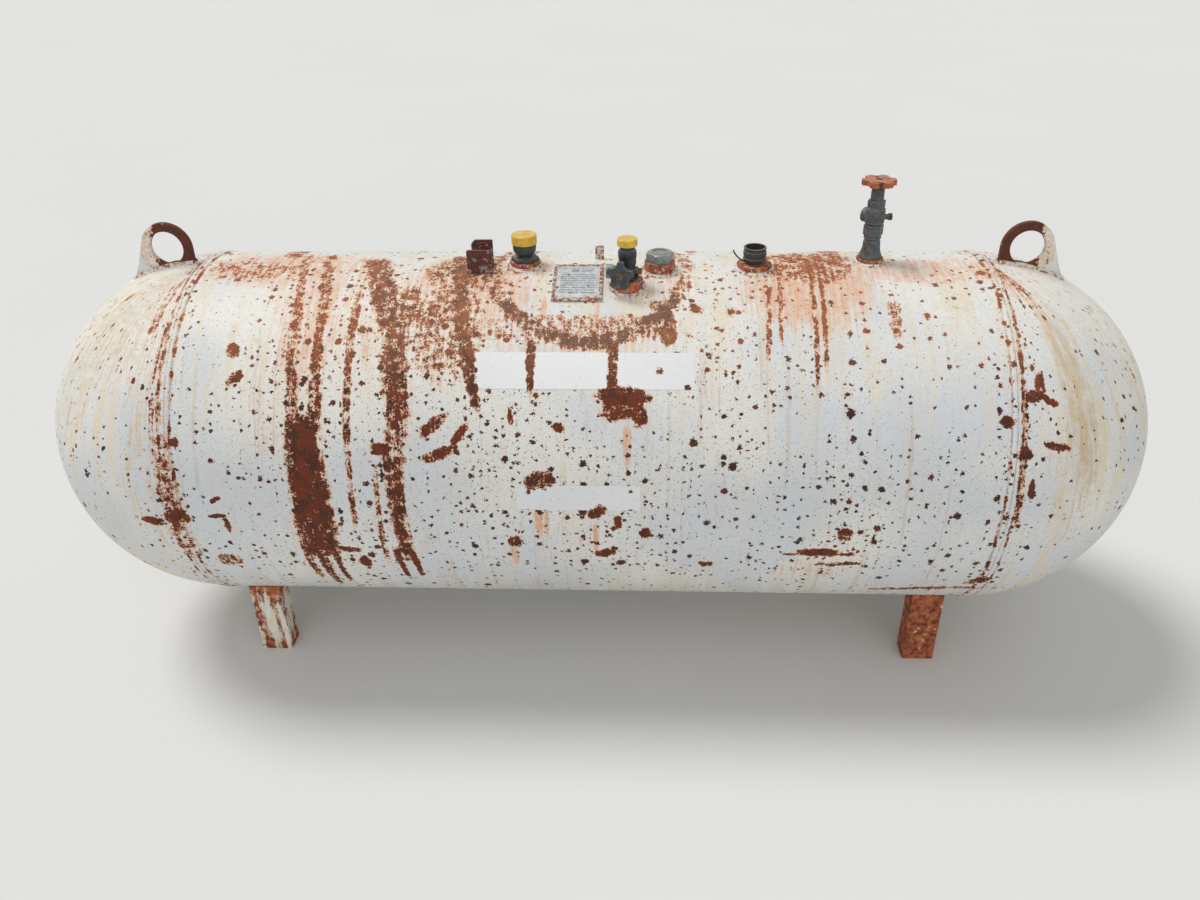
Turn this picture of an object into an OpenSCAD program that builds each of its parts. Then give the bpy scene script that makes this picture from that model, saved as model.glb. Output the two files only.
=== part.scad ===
// Horizontal pressure tank for liquefied gas, with its legs, lifting lugs and top fittings.
// Millimetres. X runs along the tank, Y across it and Z is up. The origin is on the ground under
// the middle of the tank. The front is the side towards -Y, which the star handwheel faces.

/* [Vessel] */
// Outside diameter of the shell
shell_od = 762; // [700:1:900]
// Length of the shell between the two girth seams
shell_length = 1626; // [1560:1:2000]
// Plate thickness of the shell
shell_wall = 5.3; // [4:0.1:9]
// Plate thickness of the heads
head_wall = 4.6; // [4:0.1:9]
// Height of the shell's lowest line above the ground
belly_height = 134; // [100:1:240]
// Width of a girth weld over its seam
weld_width = 21; // [14:0.5:26]
// Height of a weld's crown over the plate
weld_rise = 2.6; // [1:0.1:4]
// Width of the lengthwise weld
long_weld_width = 12; // [8:0.5:20]
// Height on the back of the shell of its lengthwise seam, in degrees above level
long_seam_angle = 35; // [20:1:60]

/* [Legs] */
// Distance between the middles of the left and right legs
leg_spacing = 1514; // [1300:2:1514]
// Distance between the outer faces of the front and back legs
leg_span = 404; // [340:2:460]
// Width of a leg's face
leg_width = 70; // [56:1:80]
// Depth of a leg's side flanges
leg_depth = 52; // [46:1:70]
// Plate thickness of a leg
leg_plate = 6; // [4:0.5:10]
// Hole in a leg's foot for a holding-down bolt
foot_hole = 16; // [10:1:20]

/* [Lifting lugs] */
// Distance of a lug's eye beyond the girth seam
lug_reach = 78; // [70:1:100]
// Height of a lug's eye above the shell's top line
lug_rise = 32; // [26:1:40]
// Hole of a lug's eye
lug_hole = 70; // [50:1:74]
// Outside diameter of a lug's eye
lug_eye = 106; // [100:1:120]
// Distance from the eye's middle to the end of the lug's heel along the head
lug_heel = 90; // [80:1:100]
// Thickness of a lug
lug_plate = 12; // [8:0.5:18]

/* [Data plate] */
// Middle of the data plate along the tank
plate_x = -20; // [-30:1:-10]
// Middle of the data plate round the shell, in degrees from the top
plate_angle = 13.3; // [12:0.1:16]
// Length of the data plate's frame along the tank
plate_length = 100; // [80:1:110]
// Width of the frame round the shell, in degrees
plate_sweep = 18.6; // [14:0.2:20]
// Height of the frame over the shell
frame_rise = 5; // [4:0.5:8]
// Width of the frame's rim
rim_width = 6; // [4:0.5:10]
// Thickness of the data plate
plate_thickness = 1.2; // [0.8:0.1:2]
// Depth of the data plate under the rim
plate_inset = 1; // [0.5:0.1:1.5]

/* [Hood bracket and tab] */
// Middle of the hood's hinge bracket along the tank
hinge_x = -222; // [-250:1:-200]
// Outer face of the bracket's front ear, in front of the crest
hinge_front = 58; // [50:1:64]
// Distance between the two ears
hinge_gap = 41; // [30:1:46]
// Width of the front ear
hinge_width = 52; // [44:1:60]
// Width of the back ear
hinge_back_width = 45; // [36:1:44.5]
// Height of the front ear over the shell's top line
hinge_rise = 45; // [36:1:50]
// Height of the back ear over the shell's top line
hinge_back_rise = 52; // [44:1:60]
// Sheet thickness of the bracket
hinge_sheet = 4; // [3:0.5:5]
// Place of the hood's stop tab along the tank
tab_x = 20; // [10:1:30]
// Place of the stop tab behind the crest
tab_y = 16; // [12:1:24]
// Width of the stop tab
tab_width = 18; // [12:1:26]
// Height of the stop tab over the shell's top line
tab_rise = 28; // [16:1:40]
// Thickness of the stop tab
tab_plate = 6; // [4:0.5:8]

/* [Couplings] */
// Outside diameter of a coupling
coupling_od = 62; // [56:1:66]
// Bore of a coupling
coupling_bore = 36; // [30:1:38]
// Gap between a screwed-in nipple and its coupling
thread_gap = 0.3; // [0.1:0.05:0.5]

/* [Fill valve] */
// Place of the fill valve along the tank
fill_x = -133; // [-140:1:-120]
// Place of the fill valve in front of the crest
fill_y = 18; // [10:1:30]
// Height of its coupling's rim over the shell's top line
fill_rim = 10; // [8:1:16]
// Height of the fill valve's body
fill_body = 37; // [34:1:46]
// Diameter of the body under the cap
fill_od = 48; // [44:1:50]
// Size of the hexagon under the body, across its flats
fill_flats = 50; // [44:1:53]
// Outside diameter of the fill cap
fill_cap_od = 52; // [51:1:60]
// Height of the fill cap
fill_cap_h = 19; // [14:1:26]

/* [Service valve] */
// Place of the service valve along the tank
service_x = 80; // [76:1:84]
// Place of the service valve in front of the crest
service_y = 101; // [96:1:106]
// Height of its coupling's rim over the shell's top line
service_rim = 2; // [1:1:8]
// Largest diameter of the service valve's body
service_od = 37; // [35:1:42]
// Height of the service valve's body
service_body = 69; // [66:1:78]
// Reach of the outlet from the body's middle
outlet_reach = 28; // [24:1:32]
// Outside diameter of the outlet's plug
outlet_od = 29; // [27:1:31]
// Gap between the outlet's plug and the coupling's rim under it
port_gap = 0.5; // [0.5:0.5:2]
// Reach of the bleeder's boss from the body's middle
bleeder_reach = 21; // [19:1:25]
// Outside diameter of the service cap
service_cap_od = 40; // [38:1:46]
// Height of the service cap
service_cap_h = 14; // [10:1:20]
// Turn of the star handwheel's stem to the left of the viewer, in degrees
star_turn = 20; // [10:1:24]
// Rise of the star handwheel's stem above level, in degrees
star_tilt = 5; // [0:1:10]
// Outside diameter of the star handwheel
star_od = 57; // [50:1:60]
// Number of lobes of the star handwheel
star_lobes = 5; // [5:1:6]
// Thickness of the star handwheel
star_thickness = 10; // [8:0.5:14]
// Diameter of its stem
star_stem = 8; // [6:0.5:10]

/* [Hex plug] */
// Place of the hex plug along the tank
plug_x = 145; // [142:1:160]
// Place of the hex plug in front of the crest
plug_y = 40; // [20:1:44]
// Height of its coupling's rim over the shell's top line
plug_rim = 17; // [14:1:24]
// Size of the plug's hexagon across its flats
plug_flats = 49; // [44:1:52]
// Height of the plug's hexagon
plug_head = 19; // [14:1:24]
// Turn of the hexagon in degrees
plug_turn = 10; // [0:1:60]

/* [Relief valve] */
// Place of the relief valve along the tank
relief_x = 338; // [300:1:380]
// Place of the relief valve in front of the crest
relief_y = 30; // [10:1:40]
// Height of its coupling's rim over the shell's top line
relief_rim = 8; // [6:1:14]
// Outside diameter of its coupling
relief_coupling_od = 70; // [62:1:74]
// Outside diameter of the relief valve's cup
relief_od = 47; // [44:1:54]
// Height of the cup
relief_cup = 27; // [24:1:34]
// Height of the neck under the cup
relief_neck = 8; // [6:1:12]
// Diameter of the neck
relief_neck_od = 32; // [28:1:36]
// Depth of the open cup
relief_depth = 22; // [14:1:23]
// Wall of the cup
relief_wall = 4; // [3:0.5:6]
// Thickness of the lost cap's tether
tether_od = 3; // [2.5:0.5:4]
// Bend radius of the tether
tether_bend = 40; // [34:1:50]

/* [Stop valve] */
// Place of the tall stop valve along the tank
stop_x = 577; // [540:1:600]
// Outside diameter of its coupling
stop_coupling_od = 54; // [50:1:60]
// Height of its coupling's rim over the shell's top line
stop_rim = 10; // [8:1:16]
// Height of the adapter between coupling and valve
adapter_height = 49; // [44:1:60]
// Diameter of the adapter's top
adapter_od = 34; // [32:1:37]
// Diameter of the adapter's flared foot
adapter_foot = 46; // [42:1:50]
// Height of the stop valve's body
stop_body_height = 56; // [52:1:66]
// Largest diameter of the stop valve's body
stop_od = 39; // [38:1:44]
// Reach of the plugged port from the body's middle
plugged_reach = 26; // [24:1:30]
// Height of the bonnet over the body
bonnet_height = 39; // [34:1:48]
// Diameter of the bonnet's sleeve
bonnet_od = 26; // [22:1:28]
// Outside diameter of the scalloped handwheel
stop_wheel_od = 68; // [60:1:80]
// Number of scallops round its rim
stop_scallops = 6; // [5:1:8]
// Thickness of the scalloped handwheel
stop_wheel_h = 11; // [8:0.5:14]
// Diameter of its stem
stop_stem_od = 10; // [8:0.5:12]

/* [Handwheels] */
// Gap between a handwheel and its bonnet
wheel_clearance = 6; // [5:0.5:8]
// Radial gap round a stem that turns in its bonnet
stem_gap = 0.05; // [0.02:0.01:0.1]
// Depth to which a stem runs into its bonnet
stem_depth = 16; // [12:1:18]

/* [Hidden] */
$fn = 96;
// The large cylinders and spheres take more sides, so that what is coped to them fits them closely
large_fn = 360;
shell_r = shell_od / 2;
half_length = shell_length / 2;
axis_z = belly_height + shell_r;
crest_z = axis_z + shell_r;
seat_gap = 0.3;
nipple_r = coupling_bore / 2 - thread_gap;
nipple_depth = 12;
fill_flutes = 24;
service_flutes = 18;
// Where the fittings stand on the top of the shell: [along the tank, across it]
fittings = [
    [fill_x, -fill_y], [service_x, -service_y], [plug_x, -plug_y], [relief_x, -relief_y], [stop_x, 0]
];

// A bar along X, centred on the tank's axis
module along_axis(r, length) {
    translate([0, 0, axis_z]) rotate([0, 90, 0])
        cylinder(r = r, h = length, center = true, $fn = large_fn);
}

// Turns its children from the top of the tank towards the front
module round_shell(angle) {
    translate([0, 0, axis_z]) rotate([angle, 0, 0]) children();
}

// A curved plate on the top of the shell, which round_shell then turns to its place
module curved_plate(inner_r, thickness, length, sweep) {
    rotate([-sweep / 2, 0, 0]) rotate([0, 90, 0]) rotate([0, 0, 180])
        rotate_extrude(angle = sweep, $fn = large_fn)
            translate([inner_r, -length / 2]) square([thickness, length]);
}

module at_end(side) {
    mirror([side < 0 ? 1 : 0, 0, 0]) children();
}

// A prism with six sides, sized across its flats
module hexagon(flats, height) {
    cylinder(d = flats / cos(30), h = height, $fn = 6);
}

module shell() {
    color("white") difference() {
        along_axis(shell_r, shell_length);
        along_axis(shell_r - shell_wall, shell_length + 2);
        for (place = fittings)
            translate([place[0], place[1], axis_z]) cylinder(d = coupling_bore, h = shell_r + 1);
    }
}

module head(side) {
    color("white") at_end(side) translate([half_length, 0, axis_z]) rotate([0, 90, 0])
        rotate_extrude($fn = large_fn) intersection() {
            difference() {
                circle(r = shell_r, $fn = large_fn);
                circle(r = shell_r - head_wall, $fn = large_fn);
            }
            square(shell_r + 1);
        }
}

// The weld's crown rises in facets from two toes that stand on the plate
module girth_weld(side) {
    crown_facets = 8;
    crown = [
        for (i = [0 : crown_facets])
            let (across = 2 * i / crown_facets - 1)
            [shell_r + weld_rise * (1 - across * across), across * weld_width / 2]
    ];
    color("snow") at_end(side) translate([half_length, 0, axis_z]) rotate([0, 90, 0])
        rotate_extrude($fn = large_fn) polygon(crown);
}

// The lengthwise seam is ground nearly flush, and shows as a low flat bead along the back
module long_weld() {
    bead_degrees = long_weld_width / shell_r * 180 / PI;
    color("snow") round_shell(long_seam_angle - 90)
        curved_plate(shell_r, weld_rise / 2, shell_length - weld_width, bead_degrees);
}

// A leg is a channel coped to the shell, with a foot plate across its lower end
module leg(side, front) {
    color("saddlebrown") translate([side * leg_spacing / 2, 0, 0]) mirror([0, front > 0 ? 0 : 1, 0])
        difference() {
            translate([-leg_width / 2, -leg_span / 2, 0]) cube([leg_width, leg_depth, axis_z]);
            translate([leg_plate - leg_width / 2, leg_plate - leg_span / 2, leg_plate])
                cube([leg_width - 2 * leg_plate, leg_depth, axis_z]);
            translate([0, foot_hole_y, -1]) cylinder(d = foot_hole, h = leg_plate + 2);
            along_axis(shell_r, shell_length);
        }
}
foot_hole_y = (leg_plate + leg_depth - leg_span) / 2;

// A lifting lug is a plate with an eye, coped to the head, with a heel that runs out along it
module lug(side) {
    eye_z = shell_r + lug_rise;
    eye_r = lug_eye / 2;
    heel_x = lug_reach + lug_heel;
    heel_z = sqrt(shell_r * shell_r - heel_x * heel_x);
    shoulder = [lug_reach + eye_r * cos(20), eye_z + eye_r * sin(20)];
    color("linen") at_end(side) translate([half_length, lug_plate / 2, axis_z]) rotate([90, 0, 0])
        difference() {
            linear_extrude(height = lug_plate) difference() {
                union() {
                    translate([lug_reach, eye_z]) circle(d = lug_eye);
                    polygon([
                        [lug_reach - eye_r, eye_z],
                        [lug_reach - eye_r, heel_z],
                        [heel_x, heel_z - lug_plate],
                        [heel_x - lug_heel / 4, eye_z - lug_rise],
                        shoulder,
                        [lug_reach, eye_z + eye_r / 2]
                    ]);
                }
                translate([lug_reach, eye_z]) circle(d = lug_hole);
            }
            translate([0, 0, lug_plate / 2]) sphere(r = shell_r, $fn = large_fn);
        }
}

// The data plate's frame is a raised rim on a floor plate, rolled to the shell
rim_degrees = rim_width / shell_r * 180 / PI;
plate_floor = shell_r + frame_rise - plate_inset - plate_thickness;
module plate_frame() {
    color("sienna") translate([plate_x, 0, 0]) round_shell(plate_angle) difference() {
        curved_plate(shell_r, frame_rise, plate_length, plate_sweep);
        curved_plate(plate_floor, frame_rise, plate_length - 2 * rim_width, plate_sweep - 2 * rim_degrees);
    }
}

module data_plate() {
    gap_degrees = seat_gap / shell_r * 180 / PI;
    color("lightsteelblue") translate([plate_x, 0, 0]) round_shell(plate_angle)
        curved_plate(plate_floor, plate_thickness,
            plate_length - 2 * rim_width - 2 * seat_gap, plate_sweep - 2 * rim_degrees - 2 * gap_degrees);
}

// The hinge bracket of the lost hood is a folded sheet: a floor on the shell and two ears, with
// their left corners cut off
module hinge_ear(y, width, rise, corner) {
    translate([hinge_x, y, 0]) difference() {
        translate([-width / 2, 0, axis_z]) cube([width, hinge_sheet, shell_r + rise]);
        translate([-width / 2, hinge_sheet / 2, crest_z + rise]) rotate([0, 45, 0])
            cube([corner, 2 * hinge_sheet, corner], center = true);
    }
}

module hood_hinge_bracket() {
    front_corner = 4;
    back_corner = 12;
    back_ear_y = -hinge_front + hinge_sheet + hinge_gap;
    color("maroon") difference() {
        union() {
            translate([hinge_x - hinge_back_width / 2, -hinge_front, axis_z])
                cube([hinge_back_width, 2 * hinge_sheet + hinge_gap, shell_r + hinge_sheet]);
            hinge_ear(-hinge_front, hinge_width, hinge_rise, front_corner);
            hinge_ear(back_ear_y, hinge_back_width, hinge_back_rise, back_corner);
        }
        along_axis(shell_r, shell_length);
    }
}

module hood_stop_tab() {
    color("snow") difference() {
        translate([tab_x - tab_width / 2, tab_y, axis_z]) cube([tab_width, tab_plate, shell_r + tab_rise]);
        along_axis(shell_r, shell_length);
    }
}

// A coupling is a ring coped to the shell
module coupling(x, y, rim, od) {
    color("sienna") difference() {
        translate([x, y, axis_z]) cylinder(d = od, h = shell_r + rim);
        translate([x, y, axis_z - 1]) cylinder(d = coupling_bore, h = shell_r + rim + 2);
        along_axis(shell_r, shell_length);
    }
}

// The end of a fitting that is screwed into its coupling, below the rim
module nipple() {
    translate([0, 0, -nipple_depth]) cylinder(r = nipple_r, h = nipple_depth + 1);
}

// Fill valve: a hexagon under a bowl that widens to the cap
module fill_valve() {
    rim_h = 9;
    nut_h = 8;
    neck_r = 14;
    round_r = 18;
    bowl_r = fill_od / 2;
    bowl_z = fill_body - rim_h;
    color("darkslategray") translate([fill_x, -fill_y, crest_z + fill_rim]) {
        nipple();
        hexagon(fill_flats, nut_h);
        cylinder(r = neck_r, h = 2 * nut_h);
        rotate_extrude() union() {
            intersection() {
                translate([bowl_r - round_r, bowl_z]) circle(r = round_r);
                translate([0, bowl_z - round_r]) square([bowl_r, round_r]);
            }
            translate([0, bowl_z - round_r]) square([bowl_r - round_r, round_r]);
            translate([0, bowl_z]) square([bowl_r, fill_body - bowl_z]);
        }
    }
}

// A cap with grip flutes round it
module fluted_cap(d, height, flutes) {
    flute_r = 1.4;
    edge = 1.5;
    difference() {
        rotate_extrude() polygon([
            [0, 0], [d / 2, 0], [d / 2, height - edge], [d / 2 - edge, height], [0, height]
        ]);
        for (i = [0 : flutes - 1]) rotate(i * 360 / flutes)
            translate([d / 2 + flute_r / 2, 0, -1]) cylinder(r = flute_r, h = height - edge, $fn = 24);
    }
}

// The fill cap has a small round button in the middle of its top
module fill_cap() {
    button_d = 7;
    button_h = 1;
    color("gold") translate([fill_x, -fill_y, crest_z + fill_rim + fill_body]) union() {
        fluted_cap(fill_cap_od, fill_cap_h, fill_flutes);
        translate([0, 0, fill_cap_h]) cylinder(d = button_d, h = button_h);
    }
}

// Service valve: a turned body with an outlet to the left, a bleeder to the right and a bonnet
// for the star handwheel at the front
service_z = crest_z + service_rim;
port_height = outlet_od / 2 + port_gap;
port_z = service_z + port_height;
outlet_neck = outlet_od - 6;
bleeder_od = 20;
star_bonnet_od = 24;
bonnet_reach = 28;

// Stands its children on the star handwheel's axis, which they follow along their own Z
module star_axis() {
    translate([service_x, -service_y, port_z]) rotate([0, 0, -star_turn]) rotate([90 - star_tilt, 0, 0])
        children();
}

module service_valve() {
    r = service_od / 2;
    nut_flats = 41;
    nut_h = 5;
    waist_z = port_height + outlet_neck / 2 + 1.5;
    collar_z = service_body - 25;
    shoulder_z = service_body - 13;
    neck_z = service_body - 8;
    neck_r = r - 3.5;
    color("dimgray") difference() {
        union() {
            translate([service_x, -service_y, service_z]) {
                nipple();
                hexagon(nut_flats, nut_h);
                rotate_extrude() polygon([
                    [0, 0], [r - 2.5, 0], [r - 2.5, waist_z], [r - 1, waist_z + 3], [r - 1, collar_z],
                    [r, collar_z + 2], [r, shoulder_z], [r - 1, shoulder_z + 3], [neck_r, neck_z],
                    [neck_r, service_body], [0, service_body]
                ]);
            }
            translate([service_x, -service_y, port_z]) {
                rotate([0, -90, 0]) cylinder(d = outlet_neck, h = outlet_reach);
                rotate([0, 90, 0]) cylinder(d = bleeder_od, h = bleeder_reach);
            }
            star_axis() cylinder(d = star_bonnet_od, h = bonnet_reach);
        }
        star_axis() translate([0, 0, bonnet_reach - stem_depth])
            cylinder(r = star_stem / 2 + stem_gap, h = stem_depth + 1);
    }
}

module service_cap() {
    color("gold") translate([service_x, -service_y, service_z + service_body])
        fluted_cap(service_cap_od, service_cap_h, service_flutes);
}

// The outlet's plug has a rounded edge and a socket for a hexagon key
module service_outlet_plug() {
    r = outlet_od / 2;
    plug_h = 15;
    edge = 2;
    key_flats = 14;
    key_depth = 5;
    color("darkslategray") translate([service_x - outlet_reach, -service_y, port_z]) rotate([0, -90, 0])
        difference() {
            rotate_extrude() polygon([
                [0, 0], [r, 0], [r, plug_h - edge], [r - edge, plug_h], [0, plug_h]
            ]);
            translate([0, 0, plug_h - key_depth]) hexagon(key_flats, key_depth + 1);
        }
}

module bleeder_screw() {
    head_flats = 12;
    head_h = 8;
    color("saddlebrown") translate([service_x + bleeder_reach, -service_y, port_z]) rotate([0, 90, 0])
        hexagon(head_flats, head_h);
}

// A stem with a shoulder that carries its handwheel; its own Z leads out of the bonnet
module stem(od, mouth, length) {
    shoulder = 3;
    shoulder_h = 2;
    foot_z = mouth - stem_depth + seat_gap;
    wheel_z = mouth + wheel_clearance;
    translate([0, 0, foot_z]) cylinder(d = od, h = wheel_z + length - foot_z);
    translate([0, 0, wheel_z - shoulder_h]) cylinder(d = od + 2 * shoulder, h = shoulder_h);
}

// A disc with round scallops cut from its rim, bored for its stem and sunk for its screw
module scalloped_wheel(od, thickness, lobes, scallop_r, scallop_at, stem_od) {
    difference() {
        cylinder(d = od, h = thickness);
        for (i = [0 : lobes - 1]) rotate((i + 0.5) * 360 / lobes)
            translate([scallop_at, 0, -1]) cylinder(r = scallop_r, h = thickness + 2);
        translate([0, 0, -1]) cylinder(r = stem_od / 2 + seat_gap, h = thickness + 2);
        translate([0, 0, thickness - screw_sink]) cylinder(r = stem_od / 2 + screw_lip, h = screw_sink + 1);
    }
}
screw_sink = 3;
screw_head = 2.4;
screw_lip = 2;

module wheel_screw(stem_od) {
    slot = 1.5;
    difference() {
        cylinder(r = stem_od / 2 + screw_lip - seat_gap, h = screw_head);
        translate([-stem_od, -slot / 2, screw_head / 2]) cube([2 * stem_od, slot, screw_head]);
    }
}

module service_stem() {
    color("silver") star_axis() stem(star_stem, bonnet_reach, star_thickness - screw_sink);
}

module service_wheel() {
    scallop_r = star_od * 0.235;
    scallop_at = star_od * 0.58;
    color("slategray") star_axis() translate([0, 0, bonnet_reach + wheel_clearance]) rotate(90)
        scalloped_wheel(star_od, star_thickness, star_lobes, scallop_r, scallop_at, star_stem);
}

module service_wheel_screw() {
    color("saddlebrown") star_axis()
        translate([0, 0, bonnet_reach + wheel_clearance + star_thickness - screw_sink])
            wheel_screw(star_stem);
}

// Hex plug: its corners are turned off, and its top is dished inside a raised ring
module hex_plug() {
    ring_inset = 6;
    ring_h = 1.6;
    ring_width = 4;
    dish = 1;
    corner_r = plug_flats / 2 + 6;
    ring_r = plug_flats / 2 - ring_inset;
    color("lightslategray") translate([plug_x, -plug_y, crest_z + plug_rim]) rotate(plug_turn)
        difference() {
            union() {
                nipple();
                intersection() {
                    hexagon(plug_flats, plug_head);
                    rotate_extrude() polygon([
                        [0, 0], [corner_r, 0], [corner_r, plug_head - 4],
                        [plug_flats / 2 - 1, plug_head], [0, plug_head]
                    ]);
                }
                translate([0, 0, plug_head]) cylinder(r = ring_r, h = ring_h);
            }
            translate([0, 0, plug_head - dish])
                cylinder(r = ring_r - ring_width, h = 2 * (dish + ring_h));
        }
}

// Relief valve: an open cup with two ribs on a neck
module relief_valve() {
    r = relief_od / 2;
    cup_top = relief_neck + relief_cup;
    color("darkslategray") translate([relief_x, -relief_y, crest_z + relief_rim]) difference() {
        union() {
            nipple();
            rotate_extrude() polygon([
                [0, 0], [relief_neck_od / 2, 0], [relief_neck_od / 2, relief_neck - 2],
                [r - 1.5, relief_neck], [r, relief_neck + 2], [r, relief_neck + 5],
                [r - 1.5, relief_neck + 6.5], [r - 1.5, relief_neck + 9],
                [r, relief_neck + 10.5], [r, cup_top - 9],
                [r - 1.5, cup_top - 7.5], [r - 1.5, cup_top - 4], [r - 0.5, cup_top - 3],
                [r - 0.5, cup_top], [0, cup_top]
            ]);
        }
        translate([0, 0, cup_top - relief_depth]) cylinder(r = r - relief_wall, h = relief_depth + 1);
    }
}

// The rubber tether of the relief valve's lost cap, which springs up in a short arc from the neck
module relief_tether() {
    start_slope = 15;
    end_slope = 70;
    start_x = relief_neck_od / 2 + seat_gap + tether_od / 2 * sin(start_slope);
    color("black") translate([relief_x - start_x, -relief_y, crest_z + relief_rim + relief_neck / 2 - 1])
        translate([tether_bend * sin(start_slope), 0, tether_bend * cos(start_slope)])
            rotate([90, 0, 0]) rotate(270 - end_slope) rotate_extrude(angle = end_slope - start_slope)
                translate([tether_bend, 0]) circle(d = tether_od, $fn = 24);
}

// Stop valve: an adapter, a body with an outlet and a plugged port, a bonnet and its handwheel
stop_z = crest_z + stop_rim;
valve_z = stop_z + adapter_height;
bonnet_z = valve_z + stop_body_height;
stop_wheel_z = bonnet_z + bonnet_height + wheel_clearance;
plugged_z = valve_z + stop_body_height * 0.64;

// The adapter flares to its foot, and has a bead between two grooves under the valve
module stop_adapter() {
    r = adapter_od / 2;
    foot_r = adapter_foot / 2;
    foot_h = 5;
    flare_h = 20;
    groove_r = r - 1.5;
    groove_z = adapter_height - 14;
    color("darkslategray") translate([stop_x, 0, stop_z]) {
        nipple();
        rotate_extrude() polygon([
            [0, 0], [foot_r, 0], [foot_r, foot_h], [r + 3, flare_h - 7], [r + 1, flare_h],
            [r, groove_z],
            [groove_r, groove_z + 2], [groove_r, groove_z + 5], [r + 0.5, groove_z + 7],
            [r + 0.5, groove_z + 11], [groove_r, groove_z + 13], [groove_r, adapter_height],
            [0, adapter_height]
        ]);
    }
}

// The outlet is a short boss at the back left, and the plugged port a thin one at the right
module stop_body() {
    r = stop_od / 2;
    nut_h = 20;
    outlet_turn = 135;
    outlet_boss = 29;
    plugged_boss = 11;
    color("slategray") {
        translate([stop_x, 0, valve_z]) {
            hexagon(adapter_od + 1, nut_h);
            rotate_extrude() polygon([
                [0, 0], [r - 4, 0], [r - 4, nut_h + 1], [r, nut_h + 5], [r, stop_body_height - 4],
                [r - 3, stop_body_height], [0, stop_body_height]
            ]);
        }
        translate([stop_x, 0, plugged_z]) {
            rotate([0, 90, 0]) cylinder(d = plugged_boss, h = plugged_reach);
            rotate([0, 0, outlet_turn]) rotate([0, 90, 0]) cylinder(d = outlet_boss, h = r + 6);
        }
    }
}

module stop_port_plug() {
    head_flats = 13;
    head_h = 8;
    color("black") translate([stop_x + plugged_reach, 0, plugged_z]) rotate([0, 90, 0])
        hexagon(head_flats, head_h);
}

// The bonnet is a sleeve over a packing nut
module stop_bonnet() {
    r = bonnet_od / 2;
    nut_flats = 31;
    nut_h = 14;
    edge = 2;
    color("darkslategray") translate([stop_x, 0, bonnet_z]) difference() {
        union() {
            hexagon(nut_flats, nut_h);
            rotate_extrude() polygon([
                [0, 0], [r, 0], [r, bonnet_height - edge], [r - edge, bonnet_height], [0, bonnet_height]
            ]);
        }
        translate([0, 0, bonnet_height - stem_depth])
            cylinder(r = stop_stem_od / 2 + stem_gap, h = stem_depth + 1);
    }
}

module stop_stem() {
    color("silver") translate([stop_x, 0, bonnet_z])
        stem(stop_stem_od, bonnet_height, stop_wheel_h - screw_sink);
}

module stop_wheel() {
    scallop_r = stop_wheel_od * 0.16;
    scallop_at = stop_wheel_od * 0.56;
    color("chocolate") translate([stop_x, 0, stop_wheel_z])
        scalloped_wheel(stop_wheel_od, stop_wheel_h, stop_scallops, scallop_r, scallop_at, stop_stem_od);
}

module stop_wheel_screw() {
    color("saddlebrown") translate([stop_x, 0, stop_wheel_z + stop_wheel_h - screw_sink])
        wheel_screw(stop_stem_od);
}

shell();
head(-1);  // head_left
head(1);  // head_right
girth_weld(-1);  // girth_weld_left
girth_weld(1);  // girth_weld_right
long_weld();
leg(-1, 1);  // leg_front_left
leg(1, 1);  // leg_front_right
leg(-1, -1);  // leg_back_left
leg(1, -1);  // leg_back_right
lug(-1);  // lug_left
lug(1);  // lug_right
plate_frame();
data_plate();
hood_hinge_bracket();
hood_stop_tab();
coupling(fill_x, -fill_y, fill_rim, coupling_od);  // fill_coupling
fill_valve();
fill_cap();
coupling(service_x, -service_y, service_rim, coupling_od);  // service_coupling
service_valve();
service_cap();
service_outlet_plug();
bleeder_screw();
service_stem();
service_wheel();
service_wheel_screw();
coupling(plug_x, -plug_y, plug_rim, coupling_od);  // plug_coupling
hex_plug();
coupling(relief_x, -relief_y, relief_rim, relief_coupling_od);  // relief_coupling
relief_valve();
relief_tether();
coupling(stop_x, 0, stop_rim, stop_coupling_od);  // stop_coupling
stop_adapter();
stop_body();
stop_port_plug();
stop_bonnet();
stop_stem();
stop_wheel();
stop_wheel_screw();
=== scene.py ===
"""Looks of the horizontal pressure tank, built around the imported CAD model, in metres.

The paint is laid out in two surface measures. along runs with X, and goes on over the heads down
the lines that rain follows. top is the angle in degrees from the crest, positive towards the front.
"""

import math

import bmesh
import bpy
from mathutils import Matrix, Vector, noise


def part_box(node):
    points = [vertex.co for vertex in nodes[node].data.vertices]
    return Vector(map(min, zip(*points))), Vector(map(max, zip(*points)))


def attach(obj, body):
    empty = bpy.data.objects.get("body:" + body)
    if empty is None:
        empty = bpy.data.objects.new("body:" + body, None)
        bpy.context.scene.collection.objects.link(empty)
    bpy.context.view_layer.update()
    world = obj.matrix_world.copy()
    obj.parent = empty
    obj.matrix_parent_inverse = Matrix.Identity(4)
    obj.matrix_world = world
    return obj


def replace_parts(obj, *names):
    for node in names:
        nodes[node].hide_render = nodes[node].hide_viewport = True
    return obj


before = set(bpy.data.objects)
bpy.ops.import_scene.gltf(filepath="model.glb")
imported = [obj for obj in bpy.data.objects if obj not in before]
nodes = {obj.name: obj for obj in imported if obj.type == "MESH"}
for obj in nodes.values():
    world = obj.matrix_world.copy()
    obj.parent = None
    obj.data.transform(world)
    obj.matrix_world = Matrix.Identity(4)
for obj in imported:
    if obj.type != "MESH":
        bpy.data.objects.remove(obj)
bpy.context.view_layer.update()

MM = 0.001
shell_low, shell_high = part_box("shell")
HALF = shell_high.x
RADIUS = (shell_high.z - shell_low.z) / 2
AXIS_Z = (shell_high.z + shell_low.z) / 2
CREST_Z = shell_high.z

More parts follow.
